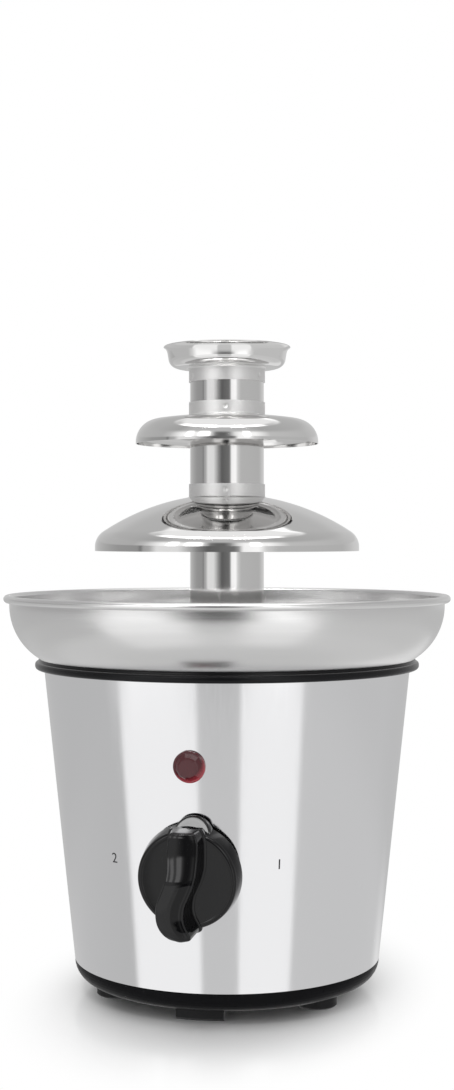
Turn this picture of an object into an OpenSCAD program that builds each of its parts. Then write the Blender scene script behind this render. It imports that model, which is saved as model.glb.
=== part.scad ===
// Table-top chocolate fountain: heated bowl on a tapered steel housing, auger and lift-off tower.
// Millimetres, +Z up, origin on the table at the centre of the housing, control knob facing -Y.

/* [Housing] */
// Height of the feet
foot_h = 5.1; // [4:0.1:8]
// Height of the bottom pan, from the feet to the shell
pan_h = 8.5; // [7:0.1:12]
// Wall of the bottom pan
pan_wall = 2; // [1.6:0.1:2.6]
// Diameter of the shell at its lower edge
shell_bottom_d = 136.4; // [130:0.2:144]
// Height of the shell
shell_h = 129.6; // [122:0.2:150]
// Sheet thickness of the shell
shell_wall = 0.7; // [0.5:0.1:1]
// How far the collar ring stands out past the shell's upper edge
collar_lip = 3; // [2:0.1:5]

/* [Bowl] */
// Diameter over the rolled rim
bowl_rim_d = 200; // [190:1:212]
// Thickness of the rolled rim
bead_d = 3.8; // [3:0.1:5]
// Radius of the curve from the bowl's side to its floor
bowl_side_r = 27.7; // [24:0.1:32]
// Height of the straight side under the rim
bowl_straight = 2.8; // [2:0.1:12]
// Sheet thickness of the bowl
bowl_wall = 0.7; // [0.5:0.1:1]

/* [Tower] */
// Outer diameter of the tower tube
tube_d = 33.2; // [30:0.2:36]
// Wall of the tower tube
tube_wall = 0.6; // [0.5:0.05:1]
// Height of the tower, from the bowl floor to the lip of the cup
tower_h = 142.6; // [136:0.2:165]
// Diameter of the lower tier
lower_d = 118.8; // [100:0.2:130]
// Height from the lower tier's widest ring up to the middle tier's
tier_step = 47.2; // [44:0.2:52]
// Diameter of the middle tier
middle_d = 82.2; // [70:0.2:92]
// Height from the middle tier's widest ring up to the underside of the cup
cup_step = 33.4; // [30:0.2:38]
// Diameter of the cup's lip
cup_d = 57.2; // [52:0.2:64]
// Depth of the cup
cup_depth = 9.2; // [7:0.2:12]
// Sheet thickness of the tiers and the cup
tier_wall = 0.5; // [0.4:0.05:0.7]
// Distance from the axis to the foot post at the end of each arm
arm_r = 37; // [34:0.5:44]
// Diameter of a foot post
post_d = 12.8; // [11:0.1:14]
// Wall of the arms and posts
arm_wall = 1.4; // [1.2:0.1:1.8]
// Height of the arms
arm_h = 20; // [17:0.5:24]

/* [Auger] */
// Gap between the flight and the inside of the tube
flight_gap = 0.4; // [0.3:0.05:0.8]
// Rise of the flight in one turn
flight_pitch = 25; // [20:0.5:32]
// Thickness of the flight at its edge
flight_edge = 1.4; // [1.2:0.1:2.4]
// Diameter of the auger's core
core_d = 10; // [9.6:0.1:12]
// How far the auger's top stays under the lip of the cup
auger_below = 1.2; // [0.5:0.1:5]

/* [Controls] */
// Height of the knob's axis above the table
knob_z = 64.5; // [58:0.5:74]
// Diameter of the knob's disc
knob_d = 42.5; // [38:0.5:46]
// Thickness of the knob's disc
knob_t = 9.2; // [8:0.2:11]
// How far the grip stands out of the disc at its lower end
grip_h = 14; // [10:0.5:16]
// Height of the pilot lamp above the table
lamp_z = 108.4; // [100:0.2:116]
// Diameter of the pilot lamp's lens
lamp_d = 13.3; // [11:0.1:15]

/* [Drive and heater] */
// Diameter of the drive shaft
shaft_d = 8; // [7:0.1:9]
// Height of the motor plate above the pan's floor
plate_h = 50; // [44:0.5:58]
// Diameter of the motor
motor_d = 58; // [50:0.5:62]
// Height of the motor
motor_h = 22; // [16:0.5:28]
// Diameter of the heater tube
heater_d = 6; // [5:0.1:7]

/* [Hidden] */
$fn = 96;

black = [0.10, 0.10, 0.11];
steel = [0.78, 0.78, 0.79];
zinc = [0.66, 0.67, 0.66];

// clearances
slip = 0.04;
run_gap = 0.06;
slide_gap = 0.1;
pin_gap = 0.3;
seat_gap = 0.05;
skirt_gap = 0.15;
lift_gap = 0.6;

// heights of the housing, from the table up
pan_floor_z = foot_h + pan_wall;
shell_z = foot_h + pan_h;
shell_top_z = shell_z + shell_h;
bowl_z = shell_top_z + 0.1;
floor_z = bowl_z + bowl_wall;
side_z = bowl_z + bowl_side_r;
rim_z = side_z + bowl_straight;

// widest rings of the two tiers above the bowl floor, hung from the cup at the top
middle_z = tower_h - cup_depth - cup_step;
lower_z = middle_z - tier_step;

// radii of the bowl, the collar that carries it and the shell under the collar
rim_r = bowl_rim_d / 2;
bowl_r = rim_r - bead_d / 2 - 0.7;
side_cr = bowl_r - bowl_side_r;
seat_r = bowl_side_r + seat_gap;
collar_r = side_cr + seat_r * cos(59) + 1;
shell_top_r = collar_r - collar_lip;
shell_bottom_r = shell_bottom_d / 2;
shell_taper = atan((shell_top_r - shell_bottom_r) / shell_h);
function shell_r(z) = shell_bottom_r + (z - shell_z) * tan(shell_taper);

// feet: three curved pads and three round ones around the tie rods
pan_round = 8;
pan_flat_r = shell_bottom_r - pan_round;
pad_w = 8;
pad_r = pan_flat_r - 1;
round_r = 8.8;
rod_r = pan_flat_r - 9;
rod_d = 4;
nut_af = 7;
nut_h = 2.6;
pad_turns = [0, 120, 240];
rod_turns = [60, 180, 300];

// tower, measured from the bowl floor
tube_r = tube_d / 2;
bore_r = tube_r - tube_wall;
sleeve_r = tube_r + slip;
hub_r = sleeve_r + 1.4;
arm_turns = [-38.8, 81.2, 201.2];
post_drop = 1.8;
post_hole_r = post_d / 2 - arm_wall;
pin_r = post_hole_r - pin_gap;
pin_h = 11;
tube_foot = 5;
cup_z = tower_h - cup_depth;
cup_floor = cup_z + tier_wall;
lower_crown = lower_d * 0.845;
lower_edge = lower_d * 0.0703;
middle_crown = middle_d * 2.73;
middle_edge = middle_d * 0.125;

// drive line
shaft_r = shaft_d / 2;
plate_z = pan_floor_z + plate_h;
plate_t = 1.6;
motor_z = plate_z + plate_t;
gear_z = motor_z + motor_h;
gear_h = 15;
shoulder_z = floor_z + 2.1;
spigot_r = shaft_r - 1;
spigot_h = 14;
flat_y = spigot_r - 0.8;
flight_r = bore_r - flight_gap;
auger_z = shoulder_z;
auger_top = floor_z + tower_h - auger_below;
core_r = core_d / 2;

// sealing bush in the middle of the bowl
bush_r = shaft_r + 3;
bush_flange_r = bush_r + 2.5;
bush_nut_h = 4;

// heater under the bowl
heater_r = heater_d / 2;
heater_plate_t = 3;
heater_ring_r = 24;
clamp_z = bowl_z - heater_plate_t - heater_d;
clamp_t = 1.2;
stud_r = 2;

// knob, switch and lamp, measured out from the wall
switch_thread_r = 4.6;
switch_nut_h = 1.8;
spindle_r = 3;
spindle_flat_z = switch_nut_h + 1.5;
knob_back = 1.2;
knob_face = knob_back + knob_t;
knob_r = knob_d / 2;
lamp_r = lamp_d / 2;
lamp_stem_r = lamp_r - 1.2;
gland_z = shell_z + 16;

// bought-in terminal block on the pan's floor
block_l = 34;
block_w = 14;
block_h = 12;
block_y = 22;
block_hole_x = 13;
block_way = 6;
block_screw_r = 1.5;
cord_r = 3.3;

// points on an arc around c, from angle a to angle b
function arc(c, r, a, b, n) = [for (i = [0:n]) c + r * [cos(a + (b - a) * i / n), sin(a + (b - a) * i / n)]];
function left(d) = [-d[1], d[0]] / norm(d);
function corner(a, b) = (a + b) / (1 + a * b);
function side_at(p, i) = i == 0 ? left(p[1] - p[0])
    : i == len(p) - 1 ? left(p[i] - p[i - 1])
    : corner(left(p[i] - p[i - 1]), left(p[i + 1] - p[i]));
// outline of sheet metal that follows path p, with thickness t to the left of it
function sheet(p, t) = concat(p, [for (i = [len(p) - 1:-1:0]) p[i] + t * side_at(p, i)]);

// turn about the axis, counted from the front towards +X
module turned(phi) {
    rotate([0, 0, phi - 90]) children();
}

// seat on the shell's outside: local +Z is the wall's outward normal, local +Y runs up the wall
module on_wall(phi, z) {
    rotate([0, 0, phi]) translate([0, -shell_r(z), z]) rotate([90 + shell_taper, 0, 0]) children();
}

module ring(r_out, r_in, h) {
    difference() {
        cylinder(r = r_out, h = h);
        translate([0, 0, -1]) cylinder(r = r_in, h = h + 2);
    }
}

module hex_nut(af, r_in, h) {
    difference() {
        cylinder(d = af / cos(30), h = h, $fn = 6);
        translate([0, 0, -1]) cylinder(r = r_in, h = h + 2);
    }
}

// bar from the axis to r with a round end
module bar(r, w) {
    translate([0, -w / 2]) square([r, w]);
    translate([r, 0]) circle(d = w);
}

// moulded pan that closes the housing underneath, with vent slots and holes for the tie rods
module bottom_pan() {
    lip_r = shell_bottom_r - shell_wall - skirt_gap;
    curve = [for (a = [0:10:90]) [pan_flat_r + pan_round * sin(a), shell_z - pan_h * cos(a)]];
    color(black) difference() {
        rotate_extrude() polygon(concat([[0, foot_h]], curve, [
            [lip_r, shell_z],
            [lip_r, shell_z + 6],
            [lip_r - pan_wall, shell_z + 6],
            [lip_r - pan_wall, shell_z],
            [pan_flat_r, pan_floor_z],
            [0, pan_floor_z]]));
        for (a = [0:30:330]) rotate([0, 0, a + 15]) translate([0, 0, foot_h - 1]) vent_slot();
        for (a = rod_turns) turned(a) translate([rod_r, 0, foot_h - 1])
            cylinder(r = rod_d / 2 + slip, h = pan_wall + 2);
        for (s = [-1, 1]) translate([s * block_hole_x, block_y, foot_h - 1])
            cylinder(r = block_screw_r, h = pan_wall + 2);
    }
}

module vent_slot() {
    linear_extrude(pan_wall + 2) {
        translate([28, -1.5]) square([10, 3]);
        for (x = [28, 38]) translate([x, 0]) circle(r = 1.5);
    }
}

module arc_feet() {
    turn = 20;
    color([0.13, 0.13, 0.13]) for (a = pad_turns) turned(a - turn / 2)
        rotate_extrude(angle = turn) polygon([
            [pad_r - pad_w, 1],
            [pad_r - pad_w + 1, 0],
            [pad_r - 1, 0],
            [pad_r, 1],
            [pad_r, foot_h],
            [pad_r - pad_w, foot_h]]);
}

module round_feet() {
    color([0.13, 0.13, 0.13]) for (a = rod_turns) turned(a) translate([rod_r, 0, 0])
        rotate_extrude() polygon([
            [4.6, 0],
            [round_r - 0.6, 0],
            [round_r, 0.6],
            [round_r, foot_h],
            [4.6, foot_h]]);
}

module tie_rod_nuts() {
    color(zinc) for (a = rod_turns) turned(a) translate([rod_r, 0, foot_h - nut_h])
        hex_nut(nut_af, rod_d / 2 + slip, nut_h);
}

module housing_shell() {
    color(steel) difference() {
        rotate_extrude() polygon([
            [shell_bottom_r, shell_z],
            [shell_top_r, shell_top_z],
            [shell_top_r - shell_wall, shell_top_z],
            [shell_bottom_r - shell_wall, shell_z]]);
        on_wall(0, knob_z) translate([0, 0, -4]) cylinder(r = switch_thread_r + slip, h = 8);
        on_wall(0, lamp_z) translate([0, 0, -4]) cylinder(r = lamp_stem_r + slip, h = 8);
        on_wall(180, gland_z) translate([0, 0, -4]) cylinder(r = cord_r + 1.2 + slip, h = 8);
    }
}

// moulded ring between the shell and the bowl: skirt in the shell, curved seat under the bowl
module collar_ring() {
    c = [side_cr, side_z];
    drop = 0.6;
    skirt_z = shell_top_z - 8;
    skirt_r = shell_r(skirt_z) - shell_wall - skirt_gap;
    seat = arc(c, seat_r, -59, -76, 6);
    outer_z = shell_top_z - drop;
    color(black) rotate_extrude() polygon(concat(
        [[skirt_r, skirt_z], [skirt_r, shell_top_z], [shell_top_r + 0.1, shell_top_z],
            [shell_top_r + 0.1, outer_z]],
        arc([collar_r - 1.6, outer_z + 1.6], 1.6, -90, 0, 6),
        arc([collar_r - 1.2, seat[0][1] - 1.5], 1.2, 0, 75, 5),
        seat,
        [[seat[6][0], shell_top_z - 0.6], [skirt_r - 1.6, shell_top_z - 2.2], [skirt_r - 1.6, skirt_z]]));
}

// pressed bowl with a rolled rim, open in the middle for the shaft bush
module bowl() {
    path = concat(
        [[bush_r + slip, bowl_z]],
        arc([side_cr, side_z], bowl_side_r, -90, 0, 18),
        [[bowl_r, rim_z]]);
    color(steel) difference() {
        rotate_extrude() union() {
            polygon(sheet(path, bowl_wall));
            translate([rim_r - bead_d / 2, rim_z]) circle(d = bead_d);
        }
        for (a = arm_turns) turned(a) translate([arm_r, 0, bowl_z - 1])
            cylinder(r = stud_r + slip, h = bowl_wall + 2);
    }
}

// the pegs that the tower stands over, with studs through the bowl's floor
module locating_pins() {
    color(steel) for (a = arm_turns) turned(a) translate([arm_r, 0, floor_z]) {
        rotate_extrude() polygon([
            [0, 0],
            [pin_r, 0],
            [pin_r, pin_h - 2],
            [pin_r - 2, pin_h],
            [0, pin_h]]);
        translate([0, 0, clamp_z - clamp_t - 5 - floor_z])
            cylinder(r = stud_r, h = floor_z - clamp_z + clamp_t + 5);
    }
}

// rods welded under the bowl that pull the bowl, the shell and the pan together
module tie_rods() {
    low = foot_h - nut_h - 0.1;
    color(zinc) for (a = rod_turns) turned(a) translate([rod_r, 0, low])
        cylinder(d = rod_d, h = bowl_z - low);
}

module shaft_bush() {
    low = bowl_z - bush_nut_h - 4;
    color([0.72, 0.58, 0.32]) difference() {
        union() {
            translate([0, 0, low]) cylinder(r = bush_r, h = floor_z - low);
            translate([0, 0, floor_z]) cylinder(r = bush_flange_r, h = 1.5);
        }
        translate([0, 0, low - 1]) cylinder(r = shaft_r + run_gap, h = floor_z - low + 4);
        translate([0, 0, floor_z - 1]) cylinder(r = shaft_r + 1.8, h = 4);
    }
}

module shaft_seal() {
    color([0.20, 0.18, 0.17]) translate([0, 0, floor_z - 1]) ring(shaft_r + 1.8, shaft_r + run_gap, 2.5);
}

module bush_nut() {
    color(zinc) translate([0, 0, bowl_z - bush_nut_h]) hex_nut(2 * bush_r + 6, bush_r + slip, bush_nut_h);
}

module heater_plate() {
    color([0.75, 0.76, 0.78]) translate([0, 0, bowl_z - heater_plate_t])
        ring(heater_ring_r + 6, heater_ring_r - 8, heater_plate_t);
}

// heating tube bent into an open ring, with a cold pin at each end
module heater_tube() {
    tube_z = bowl_z - heater_plate_t - heater_r;
    color([0.45, 0.44, 0.43]) translate([0, 0, tube_z]) {
        rotate([0, 0, 105]) rotate_extrude(angle = 330) translate([heater_ring_r, 0]) circle(r = heater_r);
        for (a = [75, 105]) rotate([0, 0, a]) translate([heater_ring_r, 0, 0])
            rotate([a == 75 ? -90 : 90, 0, 0]) cylinder(r = 1.2, h = 5);
    }
}

// spring plate on the studs that presses the heater against the bowl
module heater_clamp() {
    color(zinc) translate([0, 0, clamp_z - clamp_t]) difference() {
        linear_extrude(clamp_t) union() {
            circle(r = heater_ring_r + 2);
            for (a = arm_turns) turned(a) bar(arm_r, 11);
        }
        translate([0, 0, -1]) cylinder(r = heater_ring_r - 6, h = clamp_t + 2);
        for (a = arm_turns) turned(a) translate([arm_r, 0, -1]) cylinder(r = stud_r + slip, h = clamp_t + 2);
    }
}

module clamp_nuts() {
    color(zinc) for (a = arm_turns) turned(a) translate([arm_r, 0, clamp_z - clamp_t - 2.6])
        hex_nut(7, stud_r + slip, 2.6);
}

module thermostat() {
    color([0.55, 0.55, 0.53]) turned(20) translate([rod_r + 7, 0, bowl_z - 9]) {
        cylinder(r = 7, h = 7);
        translate([0, 0, 7]) cylinder(r = 8, h = 2);
        for (s = [-1, 1]) translate([-0.4, s * 4 - 2.4, -6]) cube([0.8, 4.8, 6]);
    }
}

module thermal_fuse() {
    color([0.86, 0.85, 0.80]) turned(140) translate([rod_r + 5, -7, bowl_z - 2.4]) rotate([-90, 0, 0]) {
        cylinder(r = 2.4, h = 14);
        translate([0, 0, -4]) cylinder(r = 0.5, h = 22);
    }
}

module motor_plate() {
    color(zinc) translate([0, 0, plate_z]) difference() {
        linear_extrude(plate_t) union() {
            circle(r = motor_d / 2 + 9);
            for (a = rod_turns) turned(a) bar(rod_r, 14);
        }
        for (a = rod_turns) turned(a) translate([rod_r, 0, -1]) cylinder(r = rod_d / 2 + slip, h = plate_t + 2);
        for (s = [-1, 1]) translate([s * (motor_d / 2 + 4), 0, -1]) cylinder(r = 1.5 + slip, h = plate_t + 2);
        translate([0, 0, -1]) cylinder(r = 9, h = plate_t + 2);
    }
}

module plate_nuts() {
    color(zinc) for (a = rod_turns) turned(a) for (z = [plate_z - nut_h, plate_z + plate_t])
        translate([rod_r, 0, z]) hex_nut(nut_af, rod_d / 2 + slip, nut_h);
}

// geared motor: a drawn can with two ears
module motor_can() {
    ear = motor_d / 2 + 4;
    color(zinc) translate([0, 0, motor_z]) {
        rotate_extrude() polygon([
            [0, 0],
            [motor_d / 2 - 1, 0],
            [motor_d / 2, 1],
            [motor_d / 2, motor_h],
            [0, motor_h]]);
        difference() {
            for (a = [0, 180]) rotate([0, 0, a]) linear_extrude(1.2) bar(ear, 8);
            for (s = [-1, 1]) translate([s * ear, 0, -1]) cylinder(r = 1.5 + slip, h = 4);
        }
    }
}

module gearbox_case() {
    color(black) translate([0, 0, gear_z]) difference() {
        union() {
            cylinder(d = motor_d - 5, h = gear_h);
            cylinder(r = shaft_r + 4, h = gear_h + 5);
        }
        translate([0, 0, 3]) cylinder(r = shaft_r + run_gap, h = gear_h + 5);
    }
}

module motor_screws() {
    color(zinc) for (s = [-1, 1]) translate([s * (motor_d / 2 + 4), 0, plate_z - 3]) {
        cylinder(r = 1.5, h = plate_t + 1.2 + 3);
        translate([0, 0, plate_t + 1.2 + 3]) cylinder(r = 2.8, h = 1.8);
    }
}

module terminal_block() {
    color([0.92, 0.92, 0.88]) translate([0, block_y, pan_floor_z]) difference() {
        translate([-block_l / 2, -block_w / 2, 0]) cube([block_l, block_w, block_h]);
        for (s = [-1, 1]) translate([s * block_hole_x, 0, -1])
            cylinder(r = block_screw_r + slip, h = block_h + 2);
        for (x = [-1, 0, 1]) translate([x * block_way, block_w / 2 + 1, block_h / 2]) rotate([90, 0, 0])
            cylinder(r = 1.6, h = block_w + 2);
    }
}

module block_screws() {
    shank = pan_wall + block_h - 0.4;
    color(zinc) for (s = [-1, 1]) translate([s * block_hole_x, block_y, foot_h + 0.4]) {
        cylinder(r = block_screw_r - slip, h = shank);
        translate([0, 0, shank]) cylinder(r = block_screw_r + 1.1, h = 1.6);
    }
}

// grommet at the back for the supply cord
module cord_gland() {
    color(black) on_wall(180, gland_z) difference() {
        union() {
            cylinder(r = cord_r + 3.2, h = 2.2);
            translate([0, 0, -2.4]) cylinder(r = cord_r + 1.2, h = 3);
            translate([0, 0, -4]) cylinder(r = cord_r + 3, h = 2.4);
        }
        translate([0, 0, -5]) cylinder(r = cord_r, h = 9);
    }
}

// selector switch behind the wall, its threaded neck through the shell
module rotary_switch() {
    color([0.16, 0.15, 0.15]) on_wall(0, knob_z) difference() {
        union() {
            translate([0, 0, -20]) cylinder(r = 13, h = 17.4);
            translate([0, 0, -3]) cylinder(r = 6, h = 1.9);
            translate([0, 0, -3]) cylinder(r = switch_thread_r, h = 3 + switch_nut_h + 0.2);
            for (a = [45:90:315]) rotate([0, 0, a]) translate([8, -2.4, -26]) cube([0.8, 4.8, 7]);
        }
        translate([0, 0, -16]) cylinder(r = spindle_r + run_gap, h = 20);
    }
}

module switch_nut() {
    color(zinc) on_wall(0, knob_z) hex_nut(13, switch_thread_r + slip, switch_nut_h);
}

// pilot lamp: red lens with a faceted face on a round stem
module lamp_lens() {
    color([0.45, 0.05, 0.08]) on_wall(0, lamp_z) {
        cylinder(r = lamp_r, h = 1.4);
        translate([0, 0, 1.4]) cylinder(r1 = lamp_r - 0.2, r2 = lamp_r * 0.55, h = 2, $fn = 12);
        translate([0, 0, -7]) cylinder(r = lamp_stem_r, h = 7.5);
    }
}

module lamp_holder() {
    color([0.90, 0.90, 0.87]) on_wall(0, lamp_z) {
        translate([0, 0, -18]) cylinder(r = lamp_stem_r, h = 11);
        for (s = [-1, 1]) translate([s * 2.4 - 0.4, -1.4, -24]) cube([0.8, 2.8, 6]);
    }
}

module lamp_clip() {
    color(zinc) on_wall(0, lamp_z) translate([0, 0, -2.1]) ring(lamp_stem_r + 2.6, lamp_stem_r + slip, 0.9);
}

// selector knob: disc with a pointer tab at the top and a bent grip that rises downwards
module control_knob() {
    color(black) on_wall(0, knob_z) difference() {
        union() {
            rotate_extrude() polygon(concat(
                [[0, knob_back], [knob_r, knob_back]],
                arc([knob_r - 2, knob_face - 2], 2, 0, 90, 6),
                [[0, knob_face]]));
            translate([0.08 * knob_r, 0.88 * knob_r, knob_back]) cylinder(r = 0.376 * knob_r, h = 5);
            knob_grip();
        }
        translate([0, 0, knob_back - 1]) cylinder(r = 8.4, h = spindle_flat_z + 0.3 - (knob_back - 1));
        intersection() {
            cylinder(r = spindle_r + slip, h = knob_face + 4);
            translate([-4, -4, 0]) cube([8, 6 + slip, knob_face + 4]);
        }
    }
}

// the grip's stations down the dial: place, left edge and right edge as shares of the knob's radius, then the rise
module knob_grip() {
    stations = [[1.00, -0.202, 0.193, 0.37], [0.97, -0.245, 0.245, 0.40], [0.89, -0.268, 0.282, 0.44],
        [0.71, -0.278, 0.306, 0.49], [0.47, -0.282, 0.301, 0.54], [0.24, -0.287, 0.287, 0.63],
        [0.05, -0.325, 0.249, 0.73], [-0.14, -0.400, 0.155, 0.83], [-0.28, -0.452, 0.089, 0.90],
        [-0.42, -0.475, 0.056, 0.95], [-0.56, -0.475, 0.052, 0.985], [-0.71, -0.442, 0.089, 1.00],
        [-0.82, -0.376, 0.151, 0.99], [-0.92, -0.287, 0.179, 0.95], [-0.98, -0.188, 0.151, 0.89],
        [-1.01, -0.090, 0.080, 0.80]];
    base = knob_face - 1.5;
    rings = [for (q = stations) let (v = q[0] * knob_r, l = q[1] * knob_r, r = q[2] * knob_r,
        h = knob_face + q[3] * grip_h, mid = knob_face + 0.45 * (h - knob_face))
        [[l - 1, v, base], [r + 1.9, v, base], [r + 0.8, v, mid], [r, v, h - 0.8],
            [r - 0.8, v, h], [l + 0.8, v, h], [l, v, h - 0.8], [l - 0.5, v, mid]]];
    m = 8;
    n = len(rings) - 1;
    polyhedron([for (r = rings) for (p = r) p], concat(
        [[for (j = [0:m - 1]) j]],
        [for (i = [0:n - 1]) for (j = [0:m - 1]) let (k = (j + 1) % m, p = i * m)
            each [[p + j, p + m + j, p + m + k], [p + j, p + m + k, p + k]]],
        [[for (j = [m - 1:-1:0]) n * m + j]]));
}

module switch_spindle() {
    color(zinc) on_wall(0, knob_z) difference() {
        translate([0, 0, -15.5]) cylinder(r = spindle_r, h = 15.5 + knob_face + 3.5);
        translate([-4, 2, spindle_flat_z]) cube([8, 4, knob_face + 4]);
    }
}

// output shaft of the gearbox, with a flatted spigot for the auger
module drive_shaft() {
    low = gear_z + 3.2;
    color([0.70, 0.70, 0.72]) {
        translate([0, 0, low]) cylinder(r = shaft_r, h = shoulder_z - low);
        translate([0, 0, shoulder_z]) difference() {
            cylinder(r = spigot_r, h = spigot_h);
            translate([-spigot_r - 1, flat_y, -1]) cube([2 * spigot_r + 2, spigot_r, spigot_h + 2]);
        }
    }
}

// moulded screw: one helical flight on a round core, with a socket for the drive shaft's spigot
module auger() {
    color([0.09, 0.09, 0.10]) difference() {
        union() {
            translate([0, 0, auger_z]) cylinder(r = core_r, h = auger_top - auger_z);
            flight();
        }
        translate([0, 0, auger_z - 1]) intersection() {
            cylinder(r = spigot_r + slide_gap, h = spigot_h + 2);
            translate([-8, flat_y + slide_gap - 16, 0]) cube([16, 16, spigot_h + 2]);
        }
    }
}

module flight() {
    root = 1.2;
    low = auger_z + 1.6;
    high = auger_top - 1.6;
    turns = (high - low) / flight_pitch;
    n = round(turns * 32);
    start = -90 - 360 * turns;
    rings = [for (i = [0:n]) let (a = start + 360 * turns * i / n, z = low + (high - low) * i / n,
        d = [cos(a), sin(a)], q = core_r - 0.7)
        [[d[0] * q, d[1] * q, z - root], [d[0] * flight_r, d[1] * flight_r, z - flight_edge / 2],
            [d[0] * flight_r, d[1] * flight_r, z + flight_edge / 2], [d[0] * q, d[1] * q, z + root]]];
    polyhedron([for (r = rings) for (p = r) p], concat(
        [[2, 1, 0], [3, 2, 0]],
        [for (i = [0:n - 1]) for (j = [0:3]) let (k = (j + 1) % 4, p = 4 * i)
            each [[p + 4 + k, p + 4 + j, p + j], [p + k, p + 4 + k, p + j]]],
        [[4 * n, 4 * n + 1, 4 * n + 2], [4 * n, 4 * n + 2, 4 * n + 3]]));
}

// foot of the tower: hub around the tube and three hollow arms that stand over the locating pins
module tower_bracket() {
    color(black) translate([0, 0, floor_z]) difference() {
        union() {
            translate([0, 0, post_drop]) cylinder(r = hub_r, h = arm_h - post_drop + 0.6);
            translate([0, 0, arm_h - 1.9]) cylinder(r = hub_r + 1.3, h = 2.5);
            for (a = arm_turns) turned(a) {
                translate([0, 0, post_drop]) linear_extrude(arm_h - post_drop) bar(arm_r, post_d);
                translate([arm_r, 0, 0]) cylinder(d = post_d, h = arm_h);
            }
        }
        translate([0, 0, -1]) cylinder(r = bore_r, h = arm_h + 4);
        translate([0, 0, tube_foot]) cylinder(r = sleeve_r, h = arm_h + 4);
        for (a = arm_turns) turned(a) {
            translate([arm_r, 0, -1]) cylinder(r = post_hole_r, h = arm_h + 4);
            slot_in = hub_r + 1.4;
            slot_out = arm_r - post_hole_r - 1.1;
            translate([slot_in, -post_hole_r, post_drop + 2]) cube([slot_out - slot_in, 2 * post_hole_r, arm_h]);
        }
    }
}

module tower_tube() {
    color(steel) translate([0, 0, floor_z + tube_foot]) ring(tube_r, bore_r, cup_floor - tube_foot);
}

// sheet tier: sleeve around the tube, crowned top, rounded edge and a short lip
module tier(r, crown, edge, lip, sleeve) {
    cz = -sqrt(pow(crown - edge, 2) - pow(r - edge, 2));
    tilt = asin((r - edge) / (crown - edge));
    neck = sleeve_r + tier_wall;
    first = asin((neck + 0.8) / crown);
    foot = cz + crown * cos(first);
    path = concat(
        [[neck, foot + sleeve], [neck, foot + 0.8]],
        [for (i = [0:10]) let (a = first + (tilt - first) * i / 10) [crown * sin(a), cz + crown * cos(a)]],
        [for (i = [1:8]) let (a = (90 - tilt) * (1 - i / 8)) [r - edge + edge * cos(a), edge * sin(a)]],
        [[r, -lip]]);
    rotate_extrude() polygon(sheet(path, -tier_wall));
}

module lower_tier() {
    color(steel) translate([0, 0, floor_z + lower_z]) tier(lower_d / 2, lower_crown, lower_edge, 1.8, 6);
}

module middle_tier() {
    color(steel) translate([0, 0, floor_z + middle_z]) tier(middle_d / 2, middle_crown, middle_edge, 0.8, 6);
}

// cup at the top: sleeve under it around the tube, flared wall and lip
module top_cup() {
    neck = sleeve_r + tier_wall;
    lip_r = cup_d / 2;
    path = concat(
        [[neck, -6.5], [neck, -1.2], [neck + 0.4, -0.4], [neck + 1.2, 0]],
        arc([lip_r - 6.4, 4.2], 4.2, -90, -8, 8),
        [[lip_r - 1.7, cup_depth - 2.4], [lip_r - 1.3, cup_depth - 1.3], [lip_r, cup_depth]]);
    color(steel) translate([0, 0, floor_z + cup_z]) rotate_extrude() polygon(sheet(path, tier_wall));
}

bottom_pan();
arc_feet();
round_feet();
tie_rod_nuts();
housing_shell();
collar_ring();
bowl();
locating_pins();
tie_rods();
shaft_bush();
shaft_seal();
bush_nut();
heater_plate();
heater_tube();
heater_clamp();
clamp_nuts();
thermostat();
thermal_fuse();
motor_plate();
plate_nuts();
motor_can();
gearbox_case();
motor_screws();
terminal_block();
block_screws();
cord_gland();
rotary_switch();
switch_nut();
lamp_lens();
lamp_holder();
lamp_clip();
control_knob();
switch_spindle();
drive_shaft();
auger();
tower_bracket();
tower_tube();
lower_tier();
middle_tier();
top_cup();
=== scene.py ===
"""Table-top chocolate fountain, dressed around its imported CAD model.

Metres, +Z up, the knob facing -Y. Pieces are written in millimetres and scaled when a mesh is made.
"""
import math

import bmesh
import bpy
import numpy as np
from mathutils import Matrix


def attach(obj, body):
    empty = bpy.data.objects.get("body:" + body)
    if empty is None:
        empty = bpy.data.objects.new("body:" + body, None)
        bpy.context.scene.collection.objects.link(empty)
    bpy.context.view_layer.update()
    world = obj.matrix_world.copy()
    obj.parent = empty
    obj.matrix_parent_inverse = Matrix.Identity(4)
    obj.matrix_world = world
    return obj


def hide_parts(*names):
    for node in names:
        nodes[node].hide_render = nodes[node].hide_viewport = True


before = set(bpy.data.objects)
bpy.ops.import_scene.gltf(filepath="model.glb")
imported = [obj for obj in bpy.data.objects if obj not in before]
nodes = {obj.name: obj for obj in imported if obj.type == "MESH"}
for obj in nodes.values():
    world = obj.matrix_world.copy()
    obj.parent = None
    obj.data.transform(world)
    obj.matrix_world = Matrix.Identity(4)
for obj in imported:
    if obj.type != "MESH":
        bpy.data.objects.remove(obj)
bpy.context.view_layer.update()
scene = bpy.context.scene
scene.view_settings.view_transform = "Standard"

# Camera: level, a little to the right of the knob, at the height of the bowl's rim.
# The frame leaves room above for the tower when it is lifted off.
camera_turn = math.radians(11.2)
camera_distance = 0.7395
camera_height = 0.2013
camera = bpy.data.objects.new("camera", bpy.data.cameras.new("camera"))
camera.location = (camera_distance * math.sin(camera_turn), -camera_distance * math.cos(camera_turn),
                   camera_height)
camera.rotation_euler = (math.pi / 2, 0.0, camera_turn)
camera.data.sensor_fit = "VERTICAL"
camera.data.sensor_height = 36.0
camera.data.lens = 54.14
camera.data.shift_y = -0.0075
camera.data.clip_start = 0.01
scene.collection.objects.link(camera)
scene.camera = camera


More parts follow.
